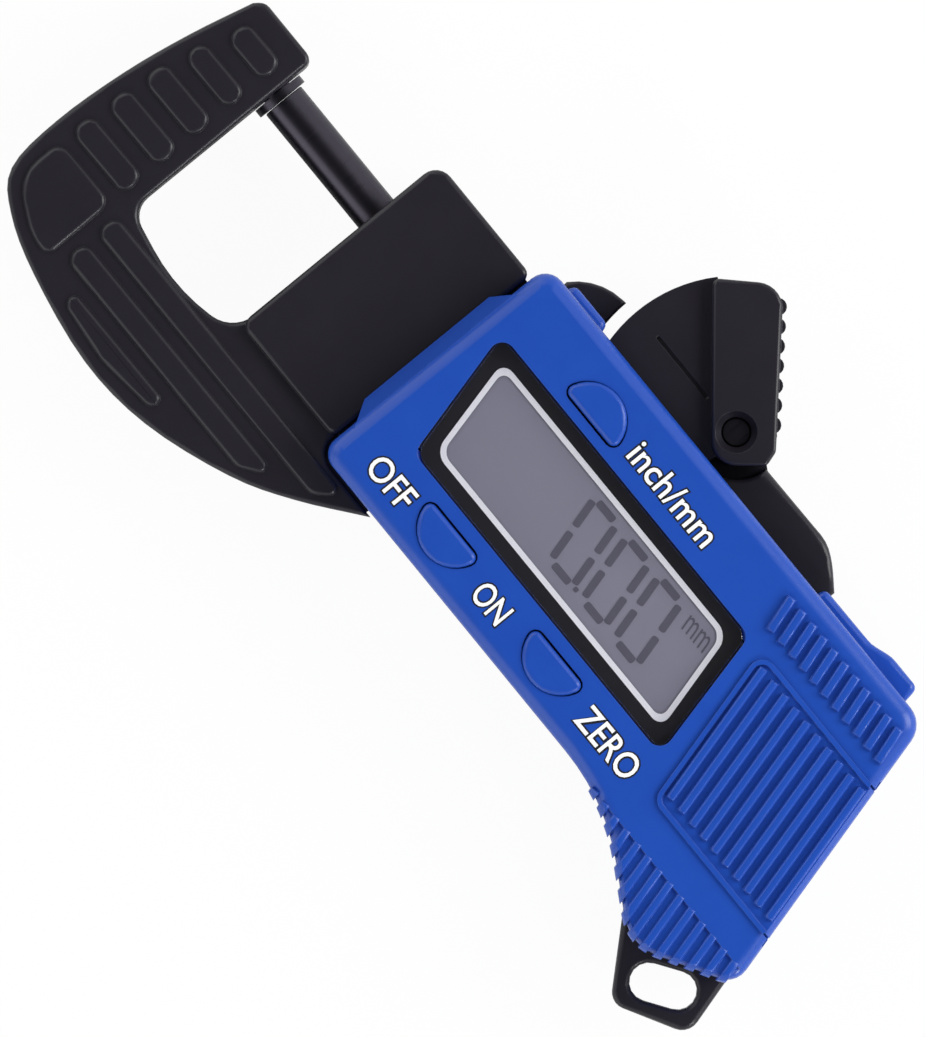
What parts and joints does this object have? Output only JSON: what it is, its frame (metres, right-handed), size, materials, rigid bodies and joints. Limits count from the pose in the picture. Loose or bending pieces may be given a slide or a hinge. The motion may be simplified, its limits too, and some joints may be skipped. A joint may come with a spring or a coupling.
{
  "type": "digital thickness gauge",
  "caption": "Pocket digital thickness gauge: a sprung thumb lever draws the spindle back from a fixed anvil in a C-shaped jaw; display, buttons and a sliding battery door.",
  "frame": {"origin": "on the flat back face, under the spindle's axis, at the middle of the gauge's length", "axes": "+X along the spindle from the anvil to the tail, +Y towards the thumb lever, +Z out of the display"},
  "size_m": [0.1048, 0.055, 0.0176],
  "materials": {
    "black_plastic": "fine satin moulded ABS",
    "blue_plastic": "fine satin moulded ABS",
    "steel": "bright",
    "blackened_steel": "satin black",
    "brass": "turned",
    "white_plastic": "natural acetal",
    "window": "clear acrylic with a black border printed on the back",
    "lcd_glass": "grey reflective display panel",
    "silicone": "matt",
    "board": "solder mask on glass laminate"
  },
  "bodies": {
    "housing": {"frame": "black_plastic", "rear_cover": "blue_plastic", "front_cover": "blue_plastic", "anvil": "steel", "spindle_bush": "brass", "lever_pin": "steel", "return_spring": "steel", "display_window": "window", "lcd_panel": "lcd_glass", "elastomer_strip": "silicone", "circuit_board": "board", "dome_inch_mm": "steel", "dome_on_off": "steel", "dome_zero": "steel", "coin_cell": "steel", "battery_contact_minus": "steel", "battery_contact_plus": "steel", "cover_screw_1": "steel", "cover_screw_2": "steel", "cover_screw_3": "steel", "cover_screw_4": "steel", "board_screw_1": "steel", "board_screw_2": "steel"},
    "spindle_slide_group": {"spindle": "blackened_steel", "carriage": "white_plastic", "spindle_set_screw": "steel", "scale_strip": "board"},
    "thumb_lever": {"lever": "black_plastic"},
    "inch_mm_key": {"button_inch_mm": "blue_plastic"},
    "on_off_key": {"button_on_off": "blue_plastic"},
    "zero_key": {"button_zero": "blue_plastic"},
    "cell_door": {"battery_door": "blue_plastic"}
  },
  "joints": [
    {"name": "spindle_slide", "type": "slide", "parent": "housing", "child": "spindle_slide_group", "axis": [1, 0, 0], "range_m": [0, 0.0127], "stiffness_N_per_m": 100, "springref_m": -0.012, "deforming": ["return_spring"]},
    {"name": "lever_hinge", "type": "hinge", "parent": "housing", "child": "thumb_lever", "pos_m": [0.01155, 0.01329, 0.0084], "axis": [0, 0, 1], "range_deg": [0, 44.1]},
    {"name": "inch_mm_press", "type": "slide", "parent": "housing", "child": "inch_mm_key", "axis": [0, 0, -1], "range_m": [0, 0.0005], "stiffness_N_per_m": 800, "springref_m": -0.0005},
    {"name": "on_off_press", "type": "slide", "parent": "housing", "child": "on_off_key", "axis": [0, 0, -1], "range_m": [0, 0.0005], "stiffness_N_per_m": 800, "springref_m": -0.0005},
    {"name": "zero_press", "type": "slide", "parent": "housing", "child": "zero_key", "axis": [0, 0, -1], "range_m": [0, 0.0005], "stiffness_N_per_m": 800, "springref_m": -0.0005},
    {"name": "cell_door_slide", "type": "slide", "parent": "housing", "child": "cell_door", "axis": [1, 0, 0], "range_m": [0, 0.018]}
  ],
  "couplings": [
    {"joint": "lever_hinge", "follows": "spindle_slide", "rad_per_m": 60.468}
  ]
}
